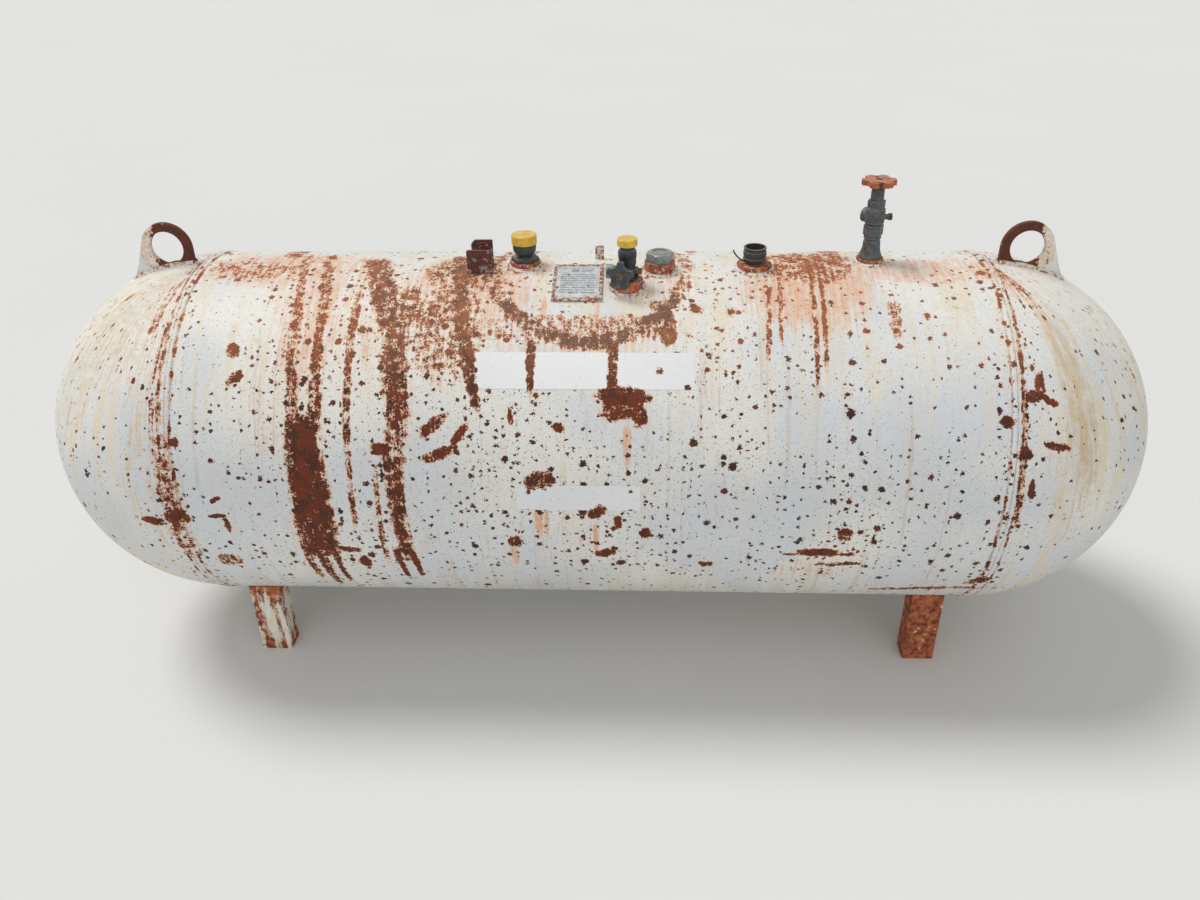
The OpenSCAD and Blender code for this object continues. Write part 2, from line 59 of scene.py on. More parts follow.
GIRTH_WELDS = ("girth_weld_left", "girth_weld_right")
LUGS = ("lug_left", "lug_right")
LEGS = ("leg_front_left", "leg_front_right", "leg_back_left", "leg_back_right")
COUPLINGS = ("fill_coupling", "service_coupling", "plug_coupling", "relief_coupling", "stop_coupling")


def rgb(red, green, blue):
    """A colour as it is seen, from 0 to 255, as Blender's linear colour."""
    def linear(value):
        value /= 255
        return value / 12.92 if value <= 0.04045 else ((value + 0.055) / 1.055) ** 2.4
    return (linear(red), linear(green), linear(blue), 1.0)


CHALK = rgb(234, 231, 223)
# A cool bluish white: random tone, and on the tank's lower flank also painted sky-lit shade
CHALK_COOL_SKY_SHADE = rgb(214, 218, 221)
CHALK_PITTED = rgb(176, 172, 164)
CHALK_WASHED = rgb(182, 180, 174)
FILM_WHITE = rgb(240, 240, 238)
FILM_COOL = rgb(230, 232, 232)
CREAM = rgb(230, 212, 176)
YELLOWED = rgb(208, 184, 146)
PEACH = rgb(226, 176, 142)
RUST_ORANGE = rgb(190, 108, 68)
RUST_RED = rgb(112, 54, 34)
RUST_BROWN = rgb(80, 46, 35)
# BARE_LIGHT, BARE_BROWN and CHIP_ORANGE are the rust as it looks in sunlight near the crest: their
# paleness there is painted sunlight
BARE_LIGHT = rgb(156, 104, 76)
BARE_BROWN = rgb(124, 86, 68)
SCAR_BROWN = rgb(122, 96, 81)
CHIP_DARK = rgb(66, 43, 36)
CHIP_ORANGE = rgb(166, 96, 64)
TAN = rgb(196, 166, 132)
# Painted shade for the toes and the middle groove of the girth welds
GROOVE_SHADE = rgb(150, 136, 120)
DUST = rgb(190, 176, 150)
DUST_PALE = rgb(190, 178, 158)
FLOOR_LIGHT = rgb(227, 226, 223)
FLOOR_SHADE = rgb(222, 221, 218)
SKY = (0.40, 0.41, 0.42, 1)
BACKDROP = (0.77, 0.77, 0.76, 1)

# Where the sockets of a Mix node stand when it mixes colours
MIX_SHARE = 0
MIX_FIRST = 6
MIX_SECOND = 7
MIX_RESULT = 2


class Value:
    """A number that varies over the surface. Arithmetic on it adds Math nodes to its graph."""

    def __init__(self, graph, socket):
        self.graph = graph
        self.socket = socket

    def __add__(self, other):
        return self.graph.math("ADD", self, other)

    def __sub__(self, other):
        return self.graph.math("SUBTRACT", self, other)

    def __rsub__(self, other):
        return self.graph.math("SUBTRACT", other, self)

    def __mul__(self, other):
        return self.graph.math("MULTIPLY", self, other)

    def __truediv__(self, other):
        return self.graph.math("DIVIDE", self, other)

    def __abs__(self):
        return self.graph.math("ABSOLUTE", self)


SPOT_EDGE = 1.4 * MM  # how wide the soft edge of a spot is


class Graph:
    """Builds the nodes of a new material, or of the world."""

    def __init__(self, name, world=None):
        self.owner = world or bpy.data.materials.new(name)
        self.owner.use_nodes = True
        self.tree = self.owner.node_tree
        self.tree.nodes.clear()
        place = self.add("TexCoord")
        self.point = place.outputs["Object"]
        self.normal = place.outputs["Normal"]

    def add(self, kind, *values, **settings):
        """A new node, with those values or links in its first sockets."""
        node = self.tree.nodes.new("ShaderNode" + kind)
        for key, value in settings.items():
            setattr(node, key, value)
        for socket, value in zip(node.inputs, values):
            self.feed(socket, value)
        return node

    def feed(self, socket, value):
        if isinstance(value, Value):
            value = value.socket
        if isinstance(value, bpy.types.NodeSocket):
            self.tree.links.new(value, socket)
        else:
            socket.default_value = value

    def math(self, operation, *values):
        return Value(self, self.add("Math", *values, operation=operation).outputs[0])

    def largest(self, first, *others):
        for other in others:
            first = self.math("MAXIMUM", first, other)
        return first

    def gathered(self, draw, rows):
        """The largest of what draw makes of each row, joined on one by one, which needs less room."""
        result = draw(*rows[0])
        for row in rows[1:]:
            result = self.largest(result, draw(*row))
        return result

    def ramp(self, value, low, high, start=0.0, end=1.0, smooth=True):
        """start at low and end at high, with a ramp between. Only a smooth ramp is level outside."""
        kind = "SMOOTHSTEP" if smooth else "LINEAR"
        values = (value, low, high, start, end)
        node = self.add("MapRange", *values, interpolation_type=kind, clamp=False)
        return Value(self, node.outputs["Result"])

    def inside(self, value, low, high, soft):
        """1 from low to high, fading out over soft on both sides."""
        return self.ramp(value, low - soft, low + soft) * self.ramp(value, high + soft, high - soft)

    def mix(self, share, first, second):
        node = self.add("Mix", data_type="RGBA")
        self.feed(node.inputs[MIX_SHARE], share)
        self.feed(node.inputs[MIX_FIRST], first)
        self.feed(node.inputs[MIX_SECOND], second)
        return node.outputs[MIX_RESULT]

    def split(self, vector):
        return [Value(self, socket) for socket in self.add("SeparateXYZ", vector).outputs]

    def vector(self, x, y, z):
        return self.add("CombineXYZ", x, y, z).outputs[0]

    def noise(self, vector, scale, detail=2.0, rough=0.5, output=0):
        """Cloudy noise from 0 to 1, mostly near 0.5. Output 1 is a colour of three such noises."""
        node = self.add("TexNoise", vector)
        node.inputs["Scale"].default_value = scale
        node.inputs["Detail"].default_value = detail
        node.inputs["Roughness"].default_value = rough
        return Value(self, node.outputs[output])

    def warped(self, vector, scale, amount, detail=2.0):
        """The place moved about by noise, so that what is drawn there gets an uneven outline."""
        cloud = self.noise(vector, scale, detail, output=1)
        scaled, start = (2 * amount,) * 3, (-amount,) * 3
        centred = self.add("VectorMath", cloud, scaled, start, operation="MULTIPLY_ADD")
        return self.add("VectorMath", vector, centred.outputs[0], operation="ADD").outputs[0]

    def spots(self, vector, cell, size, share, ragged=0.0):
        """Spots up to that size, in that share of the cells. ragged moves their outline, in mm."""
        node = self.add("TexVoronoi", vector, voronoi_dimensions="2D")
        node.inputs["Scale"].default_value = 1 / cell
        distance = Value(self, node.outputs["Distance"])
        pick = self.add("SeparateColor", node.outputs["Color"])
        reach = self.ramp(pick.outputs[0], 1 - share, 1.0, 0.0, size / cell, smooth=False)
        return self.ramp(distance + ragged * (MM / cell), reach, reach - SPOT_EDGE / cell)

    def edges(self, radius):
        """1 along the piece's sharp edges, where a normal rounded over that radius turns away."""
        bevel = self.add("Bevel", radius, samples=4)
        normal = self.add("NewGeometry").outputs["Normal"]
        product = self.add("VectorMath", bevel.outputs[0], normal, operation="DOT_PRODUCT")
        return self.ramp(Value(self, product.outputs["Value"]), 0.97, 0.80)

    def finish(self, colour, roughness, height=None, depth=0.5 * MM, **settings):
        """Connects the shader, with a bump where height is given, and returns the material."""
        shader = self.add("BsdfPrincipled")
        self.feed(shader.inputs["Base Color"], colour)
        self.feed(shader.inputs["Roughness"], roughness)
        for key, value in settings.items():
            shader.inputs[key.replace("_", " ")].default_value = value
        if height is not None:
            bump = self.add("Bump")
            bump.inputs["Strength"].default_value = 1.0
            bump.inputs["Distance"].default_value = depth
            self.feed(bump.inputs["Height"], height)
            self.feed(shader.inputs["Normal"], bump.outputs[0])
        self.add("OutputMaterial", shader.outputs[0])
        return self.owner


# Rust streaks: where the middle lies along the tank at their upper and lower ends and their half
# width there, in millimetres, then the angles from the crest where they start and end, and how
# solid they are. Negative angles are on the back.
STREAKS = [
    (-606, -574, 13, 13, -8, 24, 0.46),
    (-574, -562, 14, 15, 22, 62, 0.5),
    (-560, -521, 16, 15, -8, 24, 0.5),
    (-521, -518, 13, 15, 22, 62, 0.55),
    (-542, -535, 34, 46, 60, 96, 0.84),
    (-536, -538, 46, 42, 92, 108, 0.76),
    (-572, -566, 11, 7, 104, 123, 0.66),
    (-543, -539, 14, 8, 104, 130, 0.7),
    (-515, -509, 10, 6, 104, 126, 0.66),
    (-457, -455, 11, 7, 18, 95, 0.5),
    (-455, -378, 36, 30, -3, 34, 0.62),
    (-376, -357, 30, 28, 32, 62, 0.64),
    (-357, -369, 28, 27, 60, 76, 0.52),
    (-369, -362, 24, 16, 72, 110, 0.62),
    (-404, -408, 8, 7, 74, 114, 0.48),
    (-386, -378, 9, 6, 104, 121, 0.8),
    (-354, -346, 9, 6, 104, 120, 0.8),
    (-276, -238, 20, 22, -6, 36, 0.66),
    (-240, -205, 22, 9, 33, 58, 0.72),
    (-104, -103, 10, 8, 36, 53, 0.8),
    (54, 54, 12, 9, 36, 53, 0.8),
    (450, 442, 6, 5, -6, 50, 0.62),
    (470, 459, 6, 5, -6, 46, 0.62),
    (384, 376, 6, 5, 10, 39, 0.56),
    (362, 350, 6, 5, 15, 44, 0.56),
    (600, 596, 16, 12, 22, 37, 0.46),
    (-832, -824, 12, 9, 26, 70, 0.44),
    (-824, -812, 25, 23, 66, 110, 0.48),
    (-846, -842, 9, 7, 30, 70, 0.4),
    (827, 829, 9, 9, 36, 92, 0.5),
    (520, 505, 30, 24, -88, 6, 0.54),
    (-130, -118, 10, 7, -72, -10, 0.5),
    (-652, -640, 20, 26, -112, -4, 0.52),
    (222, 214, 22, 14, -44, -12, 0.56),
    (-378, -372, 14, 8, -58, -14, 0.54),
]

# Patches of bare metal: where the middle lies along the tank in millimetres and its angle from the
# crest, the half length and half height in millimetres, how solid they are, and a turn in degrees
PATCHES = [
    (75, 54, 48, 18, 0.84),
    (62, 58.5, 30, 16, 0.7),
    (106, 59, 14, 24, 0.68),
    (464, 103.6, 40, 12, 0.92),
    (410, 104.4, 16, 5, 0.66),
    (520, 104.2, 18, 6, 0.66),
    (505, 109, 46, 6, 0.64, 4),
    (-290, 62.5, 34, 11, 0.72, 38),
    (-278, 70.8, 34, 10, 0.72, 20),
    (-238, 65, 26, 8, 0.7, 56),
    (-391, 69.4, 20, 12, 0.8),
    (-85, 78.6, 27, 17, 0.74, 12),
    (25, 88.5, 18, 12, 0.8, 35),
    (40, 105, 20, 10, 0.85, 10),
    (120, 96.4, 10, 13, 0.8),
    (66, 92.4, 8, 14, 0.85),
    (-50, 62.7, 11, 9, 0.85),
    (-140, 59.7, 5, 14, 0.8, 8),
    (-140, 100.3, 14, 15, 0.8),
    (-354, 24, 22, 54, 0.6),
    (-687, 40.3, 13, 14, 0.76, 20),
    (-677, 49, 18, 11, 0.76, 40),
    (-455, 111, 13, 15, 0.85),
    (-484, 104.6, 24, 8, 0.75, -10),
    (-732, 91.5, 18, 5, 0.75),
    (-715, 95, 6, 16, 0.75),
    (-741, 111, 24, 22, 0.58),
    (-728, 86, 12, 6, 0.8, 30),
    (868, 50.2, 11, 26, 0.8, -12),
    (850, 53, 24, 10, 0.8, 8),
    (884, 54, 24, 8, 0.8, -26),
    (830, 69.5, 16, 13, 0.78),
    (849, 80.1, 7, 18, 0.85),
    (896, 67.6, 26, 7, 0.8, -8),
    (793, 60.3, 12, 10, 0.8),
    (805, 118, 26, 14, 0.7, 30),
    (700, 126, 110, 10, 0.56, 6),
    (511, 95.8, 15, 17, 0.64),
    (242, 109.8, 14, 12, 0.7),
    (-866, 94, 24, 10, 0.74),
    (-815, 92, 26, 20, 0.75),
    (-824, 84, 18, 16, 0.66),
    (150, 26.5, 30, 16, 0.74, -55),
    (160, 34, 16, 28, 0.66),
    (450, 2, 92, 82, 0.46),
    (-248, 8, 76, 74, 0.52),
    (-275, 32, 74, 110, 0.45),
    (-20, 33, 190, 34, 0.4),
    (-700, 6, 96, 46, 0.37),
    (-893, 24, 18, 90, 0.4),
    (905, 7, 60, 34, 0.46),
    (950, 14, 34, 46, 0.42, 20),
    (-900, 6, 56, 26, 0.4),
    (350, -47, 28, 14, 0.8, 10),
    (-250, -78, 36, 12, 0.8, -8),
    (640, -66, 20, 26, 0.75, 20),
    (-880, -52, 26, 16, 0.75, 30),
]

# Washes of rusty water over the paint, in the same measures, peach on the shell and yellow on the
# heads. The narrow ones are orange runs below chips.
WASHES = [
    (-548, 26, 62, 190, 0.72),
    (-420, 22, 70, 150, 0.55),
    (-640, 4, 170, 80, 0.8),
    (-240, 16, 130, 120, 0.8),
    (-20, 40, 190, 60, 0.5),
    (440, 14, 130, 130, 0.85),
    (700, 6, 170, 60, 0.7),
    (-133, 4, 60, 50, 0.7),
    (110, 14, 110, 60, 0.55),
    (577, 2, 60, 60, 0.6),
    (470, 112, 76, 40, 0.55),
    (-40, 104, 70, 70, 0.35),
    (-545, 100, 90, 150, 0.35),
    (-90, 91, 8, 42, 1.1),
    (-74, 93, 5, 34, 1),
    (22, 99, 6, 44, 1),
    (-143, 106, 7, 36, 1),
    (20, 27, 5, 34, 0.82),
    (-84, 26, 5, 32, 0.82),
    (84, 68, 9, 46, 0.9),
    (-365, 96, 60, 160, 0.4),
    (-1010, 22, 170, 190, 0.62),
    (-1120, 48, 110, 190, 0.5),
    (962, 52, 40, 230, 0.8),
    (1000, 24, 50, 110, 0.55),
    (915, 12, 60, 70, 0.75),
    (930, 96, 36, 150, 0.45),
    (-860, 60, 60, 330, 0.5),
    (520, -50, 60, 300, 0.5),
    (-640, -60, 70, 300, 0.5),
    (1010, -40, 110, 200, 0.6),
    (-1010, -34, 110, 200, 0.6),
]

# How far out a mark's edge fades to nothing and where it is full, in half sizes
STREAK_EDGE = (1.35, 0.45)
PATCH_EDGE = (1.5, 0.5)

# The ring that the lost hood left round the fittings: its middle, its half sizes and its band
HOOD_X = 2 * MM
HOOD_ARC = 34 * MM
HOOD_HALF_LENGTH = 198 * MM
HOOD_HALF_WIDTH = 214 * MM
HOOD_BAND = 17 * MM

# Chips in the paint: how wide the cells are that may each hold one, and how far a chip reaches
LARGE = (72 * MM, 11 * MM)
MIDDLE = (30 * MM, 7.5 * MM)
SMALL = (15 * MM, 4.4 * MM)
SPECKS = (7 * MM, 1.9 * MM)
HALOS = (72 * MM, 19 * MM)
FILM_CHIPS = (50 * MM, 9 * MM)

# Past this share of the radius, chips on a head are laid out as seen from its end
TIP_SHARE = 0.74

weld_low, weld_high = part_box("girth_weld_right")
SEAM_HALF = (weld_high.x - weld_low.x) / 2


class Surface:
    """Measures of the tank's surface, as values in a material's graph.

    along and top are those of the note at the start, arc is top in metres, and flat holds along and
    arc. over is how far past the seam a place lies, seam how far from the seam's middle, down how far
    below the crest along the shell, and side goes from -1 at the front to 1 at the back.
    """

    def __init__(self, g):
        self.g = g
        self.x, self.y, self.z = x, y, z = g.split(g.point)
        self.over = g.largest(abs(x) - HALF, 0.0)
        turned = g.math("ARCTAN2", self.over, abs(y) + MM)
        reach = g.math("MINIMUM", abs(x), HALF) + turned * RADIUS
        self.along = reach * g.math("SIGN", x)
        self.top = g.math("ARCTAN2", y * -1.0, z - AXIS_Z) * math.degrees(1)
        self.arc = self.top * math.radians(RADIUS)
        self.flat = g.vector(self.along, self.arc, 0.0)
        self.seam = abs(abs(x) - HALF)
        self.down = g.math("ARCCOSINE", (z - AXIS_Z) / RADIUS) * RADIUS
        self.side = g.ramp(y, -80 * MM, 80 * MM, -1.0, 1.0)

    def chip_place(self, uneven):
        """The flat measures, or those seen from the end at a head's tip, where the flat ones pinch."""
        g = self.g
        tip = g.math("GREATER_THAN", self.over + uneven * 0.06, TIP_SHARE * RADIUS)
        return g.mix(tip, self.flat, g.vector(self.y, self.z, 0.0))

    def unsteady(self, scale, amount):
        """From here on, what is laid out on the surface gets an uneven outline."""
        g = self.g
        self.along, self.arc = g.split(g.warped(self.flat, scale, amount, 4))[:2]
        self.top = self.arc / math.radians(RADIUS)

    def trickles(self, across, down, detail, rough):
        """Noise drawn out down the surface, with so many waves a metre across it and down it."""
        g = self.g
        return g.noise(g.vector(self.along * across, self.down * down, self.side), 1.0, detail, rough)

    def streak(self, upper, lower, upper_half, lower_half, start, end, solid):
        g = self.g
        lean = g.ramp(self.top, start, end, upper * MM, lower * MM, smooth=False)
        half = g.ramp(self.top, start, end, upper_half * MM, lower_half * MM, smooth=False)
        across = abs(self.along - lean) / half
        return g.ramp(across, *STREAK_EDGE, 0.0, solid) * g.inside(self.top, start, end, 3.0)

    def patch(self, along, top, half_length, half_height, solid, turn=0):
        g = self.g
        cos, sin = math.cos(math.radians(turn)), math.sin(math.radians(turn))
        down = math.radians(top) * RADIUS

        def measure(across_share, down_share, half):
            """How far a place lies from the patch's middle along one of its axes, in half sizes."""
            middle = across_share * along * MM + down_share * down
            lengthwise = g.math("MULTIPLY_ADD", self.along, across_share / half, -middle / half)
            return g.math("MULTIPLY_ADD", self.arc, down_share / half, lengthwise)

        u = measure(cos, -sin, half_length * MM)
        v = measure(sin, cos, half_height * MM)
        out, full = PATCH_EDGE
        return g.ramp(g.math("MULTIPLY_ADD", u, u, v * v), out ** 2, full ** 2, 0.0, solid)

    def hood_ring(self):
        """The rusty trace of the hood's edge, weaker on the crest than on the front."""
        g = self.g
        u = (self.along - HOOD_X) / HOOD_HALF_LENGTH
        v = (self.arc - HOOD_ARC) / HOOD_HALF_WIDTH
        off = abs(g.math("SQRT", u * u + v * v) - 1.0) * HOOD_HALF_LENGTH
        front = g.ramp(self.top, 12.0, 30.0, 0.42, 0.62)
        return g.ramp(off, 1.8 * HOOD_BAND, 0.3 * HOOD_BAND) * front

    def seam_rust(self):
        """Dashes of rust along both toes of the girth welds."""
        g = self.g
        off = abs(self.seam - SEAM_HALF)
        place = g.vector(self.arc * 24.0, g.math("SIGN", self.x) * 3.0, self.x * 40.0)
        dashes = g.noise(place, 1.0, 2, 0.6)
        return g.ramp(off, 7 * MM, 1 * MM) * g.ramp(dashes, 0.44, 0.60, 0.10, 0.72)

    def seam_shade(self):
        """Thin lines of painted shade along the toes of the girth welds and down the groove in their
        middle.
        """
        g = self.g
        toes = g.ramp(abs(self.seam - SEAM_HALF), 3.2 * MM, 0.6 * MM)
        return g.largest(toes, g.ramp(self.seam, 2.4 * MM, 0.6 * MM) * 0.7)


def reaching(rows, low, high, ends=1):
    """The rows that reach the part of the tank from low to high off its middle, in millimetres.

    A row starts with its place along the tank, or with those of both its ends, and its half sizes
    stand third and fourth.
    """
    kept = []
    for row in rows:
        places = [abs(place) for place in row[:ends]]
        spread = PATCH_EDGE[0] * max(row[2:4])
        if max(places) + spread > low and min(places) - spread < high:
            kept.append(row)
    return kept


class Paint:
    """Chalky white paint over rust, as on the tank, or the blank sheets' film over the same rust."""

    def __init__(self, name, film):
        g = Graph(name)
        s = Surface(g)
        self.g = g
        self.s = s
        self.film = film
        self.uneven = g.noise(g.point, 62, 4, 0.66) - 0.5
        self.fine = g.noise(g.point, 290, 2, 0.6) - 0.5
        self.cloud = g.noise(g.point, 3.4, 2, 0.55)
        self.runs = s.trickles(150.0, 10.0, 2, 0.6) - 0.5
        self.drift = s.trickles(30.0, 3.0, 3, 0.6)
        s.unsteady(60, 6.5 * MM)

    def lay_rust(self, streaks, patches):
        """placed is the rust as laid out, bare is where the paint is gone, and rim the edge of that."""
        g, s = self.g, self.s
        self.ring = s.hood_ring()
        placed = g.largest(g.gathered(s.streak, streaks), g.gathered(s.patch, patches))
        self.placed = g.largest(placed, self.ring, s.seam_rust())
        grain = self.fine * 1.2 + self.uneven * 1.7 + self.runs * 0.8
        field = self.placed + grain * g.ramp(self.placed, 0.04, 0.36)
        self.bare = g.ramp(field, 0.50, 0.56)
        self.rim = g.ramp(field, 0.30, 0.50)

    def chip_share(self):
        """The share of cells that hold a chip: most in mid front and low down, and along the seams."""
        g, s = self.g, self.s
        seam = g.ramp(s.seam, 80 * MM, 10 * MM)
        crowded = g.inside(s.along, -0.66, -0.02, 0.14) * g.inside(s.top, 6.0, 90.0, 14.0)
        right = g.inside(s.along, 0.14, 0.56, 0.10) * g.inside(s.top, 2.0, 62.0, 14.0)
        low = g.inside(s.along, -0.74, 0.74, 0.16) * g.inside(s.top, 58.0, 118.0, 12.0)
        self.near = g.ramp(self.placed, 0.03, 0.40)
        share = g.largest(crowded * 0.88, right * 0.78, low * 0.76, seam * 0.80, 0.34)
        thin = g.ramp(self.cloud + self.uneven * 0.3, 0.34, 0.62, 0.46, 1.06)
        share = share * thin * (1.0 - self.heads * 0.3)
        return g.largest(share, seam * 0.66)

    def lay_chips(self):
        """chips, specks and halos are colour. gone is what the bump takes out.

        gone lacks the extra chips near the rust, because they would slow the bump down.
        """
        g, s = self.g, self.s
        self.heads = g.ramp(abs(s.x), HALF - 20 * MM, HALF + 100 * MM)
        self.upper = g.ramp(abs(s.top), 84.0, 40.0)
        # Painted sunlight: rust and chips are paler towards the crest and darker below
        self.painted_sunlight = g.ramp(abs(s.top), 58.0, 30.0)
        share = self.chip_share()
        loose = g.warped(s.chip_place(self.uneven), 150, 4.0 * MM, 2)
        ragged = self.fine * 12.0 + self.uneven * 9.0

        def chipped(share):
            middle = g.spots(loose, *MIDDLE, share * 0.85, ragged)
            return g.largest(middle, g.spots(loose, *SMALL, share * 0.92, ragged * 0.7))

        large = g.spots(loose, *LARGE, share * 0.5, ragged)
        self.specks = g.spots(loose, *SPECKS, share * 0.9 + 0.08)
        self.gone = g.largest(large, chipped(share), self.specks * 0.4)
        self.chips = g.largest(large, chipped(g.largest(share, self.near)))
        self.halos = g.spots(loose, *HALOS, share * 0.6, ragged)
        if self.film:
            self.gone = g.spots(loose, *FILM_CHIPS, 0.36, ragged)
            self.chips = g.largest(self.gone, self.near * self.chips)
            self.specks = self.specks * 0.4

    def white(self):
        """The clean chalk-white coat in warm and cool patches, the warm more towards the crest as
        painted sunlight, with dust below, pits, washed runs, yellowing, drips, and painted shade along
        the seams.
        """
        g, s = self.g, self.s
        if self.film:
            return g.mix(g.ramp(self.cloud, 0.3, 0.7), FILM_WHITE, FILM_COOL)
        # Warm white against cool bluish white: random tone, with the warm white leaning towards the
        # crest as painted sunlight
        warm_sunlit_share = g.ramp(self.cloud + self.fine * 0.3 + self.upper * 0.15, 0.40, 0.72)
        white = g.mix(warm_sunlit_share, CHALK_COOL_SKY_SHADE, CHALK)
        dusty = g.ramp(abs(s.top), 96.0, 165.0) * g.ramp(self.drift, 0.30, 0.62)
        white = g.mix(dusty * 0.55, white, DUST)
        white = g.mix(g.ramp(self.fine, -0.02, -0.20) * 0.35, white, CHALK_PITTED)
        white = g.mix(g.ramp(self.runs, 0.04, 0.26) * 0.22, white, CHALK_WASHED)
        yellow = g.ramp(self.drift + self.uneven * 0.5, 0.44, 0.70)
        yellow = yellow * g.largest(self.heads * 0.7, self.upper * 0.55, 0.16)
        white = g.mix(yellow, white, CREAM)
        drips = g.ramp(s.trickles(64.0, 1.6, 1, 0.5) + self.runs * 0.35, 0.62, 0.74)
        drips = drips * g.ramp(abs(s.top), 24.0, 50.0)
        white = g.mix(drips * 0.34, white, TAN)
        # Painted shade along the weld seams, stronger in some places than in others
        return g.mix(s.seam_shade() * g.ramp(self.uneven, -0.14, 0.08, 0.25, 0.80), white, GROOVE_SHADE)

    def coat(self, washes):
        """The clean coat with what rusty water left on it."""
        g = self.g
        white = self.white()
        stain = g.ramp(self.placed + self.uneven * 0.9 + self.runs * 0.8, 0.10, 0.60) * 0.8
        if self.film:
            coat = g.mix(stain * 0.5, white, CREAM)
        else:
            washed = g.gathered(self.s.patch, washes)
            wash = g.ramp(washed + self.uneven * 0.9 + self.runs * 1.3, 0.30, 1.15)
            coat = g.mix(wash, white, g.mix(self.heads, PEACH, YELLOWED))
            stain = g.largest(stain, self.halos * self.upper * 0.45)
            coat = g.mix(stain, coat, g.mix(g.ramp(self.uneven, -0.12, 0.16), CREAM, PEACH))
        return g.mix(self.rim * 0.75, coat, RUST_ORANGE)

    def rusts(self):
        """The colour of the bare metal and that of the chips: paler towards the crest as painted
        sunlight, darker below as painted shade.
        """
        g = self.g
        tone = g.noise(g.point, 40, 3, 0.62)
        deep = g.mix(g.ramp(tone + self.runs * 0.6, 0.38, 0.60), RUST_BROWN, RUST_RED)
        pale = g.mix(g.ramp(tone + self.runs * 0.6, 0.40, 0.60), BARE_BROWN, BARE_LIGHT)
        pale = g.mix(g.ramp(tone + self.fine, 0.58, 0.80) * 0.8, pale, RUST_ORANGE)
        pale = g.mix(g.ramp(abs(self.s.along + 0.09), 0.30, 0.40) * 0.75, pale, CHIP_ORANGE)
        # Pale rust near the crest and deep rust below: painted sunlight and painted shade
        rust = g.mix(self.painted_sunlight, deep, pale)
        rust = g.mix(g.ramp(self.ring + self.uneven * 0.5, 0.4, 0.7) * 0.8, rust, SCAR_BROWN)
        rust = g.mix(g.ramp(self.fine, 0.04, 0.20) * 0.6, rust, CHIP_DARK)
        low_spot = g.mix(g.ramp(tone, 0.46, 0.62), CHIP_DARK, RUST_RED)
        high_spot = g.mix(g.ramp(tone, 0.40, 0.56), BARE_BROWN, CHIP_ORANGE)
        return rust, g.mix(self.painted_sunlight, low_spot, high_spot)

    def finish(self, washes):
        g = self.g
        coat = self.coat(washes)
        rust, spot = self.rusts()
        colour = g.mix(self.specks * 0.75, coat, RUST_BROWN)
        colour = g.mix(self.chips, colour, spot)
        colour = g.mix(self.bare, colour, rust)
        lost = g.largest(self.chips, self.bare) + self.fine * 0.3
        roughness = g.ramp(lost, 0.0, 1.0, 0.34 if self.film else 0.52, 0.9)
        height = self.uneven * 0.16 + self.fine * 0.22 - self.gone
        return g.finish(colour, roughness, height, 0.5 * MM, Specular_IOR_Level=0.3)


def paint(name, streaks, patches, washes, film=False):
    layers = Paint(name, film)
    layers.lay_rust(streaks, patches)
    layers.lay_chips()
    return layers.finish(washes)


def weathered(name, coat, shade, rust, share, worn_lit_edge, roughness, metallic=0.0, worn_lit_width=1.2, dust=0.3):
    """A coated metal piece, with pale edges, partly wear and partly painted highlight, over a narrow
    band given in millimetres, and dust on what faces up.

    Its coat is mottled with shade, and rust covers that share of it in blotches.
    """
    g = Graph(name)
    tone = g.noise(g.point, 85, 4, 0.62)
    fine = g.noise(g.point, 520, 3, 0.62)
    colour = g.mix(g.ramp(tone, 0.34, 0.66), coat, shade)
    colour = g.mix(g.ramp(fine, 0.50, 0.78) * 0.45, colour, shade)
    facing = g.split(g.normal)[2]
    dusty = g.ramp(facing, 0.35, 0.95) * g.ramp(tone + fine * 0.5, 0.55, 0.95) * dust
    colour = g.mix(dusty, colour, DUST_PALE)
    start = 0.66 - share * 0.34
    rusted = g.ramp(g.noise(g.point, 60, 5, 0.68), start, start + 0.02)
    colour = g.mix(rusted, colour, g.mix(g.ramp(fine, 0.36, 0.64), rust, RUST_BROWN))
    # Pale edges: partly wear, partly painted highlight where rounded edges would catch the light
    rim = g.edges(worn_lit_width * MM) * g.ramp(tone + fine * 0.6, 0.58, 0.86, 0.35, 1.0)
    colour = g.mix(rim, colour, worn_lit_edge)
    rough = g.ramp(g.largest(rusted, dusty) + fine * 0.25, 0.0, 1.2, roughness, 0.92)
    return g.finish(colour, rough, fine * 0.5 + rusted * 0.6, 0.35 * MM, Metallic=metallic)


def rusty(name, light, dark, flecks, share):
    """Bare rusty steel with flecks of old paint or primer over that share of it."""
    g = Graph(name)
    tone = g.noise(g.point, 75, 5, 0.66)
    fine = g.noise(g.point, 420, 3, 0.65)
    colour = g.mix(g.ramp(tone, 0.38, 0.60), dark, light)
    colour = g.mix(g.ramp(fine, 0.56, 0.74) * 0.6, colour, CHIP_DARK)
    start = 0.66 - share * 0.3
    left = g.ramp(g.noise(g.point, 130, 4, 0.62) + (fine - 0.5) * 0.3, start, start + 0.04)
    colour = g.mix(left, colour, flecks)
    height = tone * 0.7 + fine * 0.5 + left * 0.4
    return g.finish(colour, g.ramp(fine, 0.3, 0.7, 0.78, 0.95), height, 0.6 * MM)


# A lug's rounded end, how far it rusts round its eye, and how far below the crest its foot does
EYE_END = 53 * MM
EYE_RUST = 68 * MM
FOOT_RUST = 40 * MM
RUST_FADE = 12 * MM


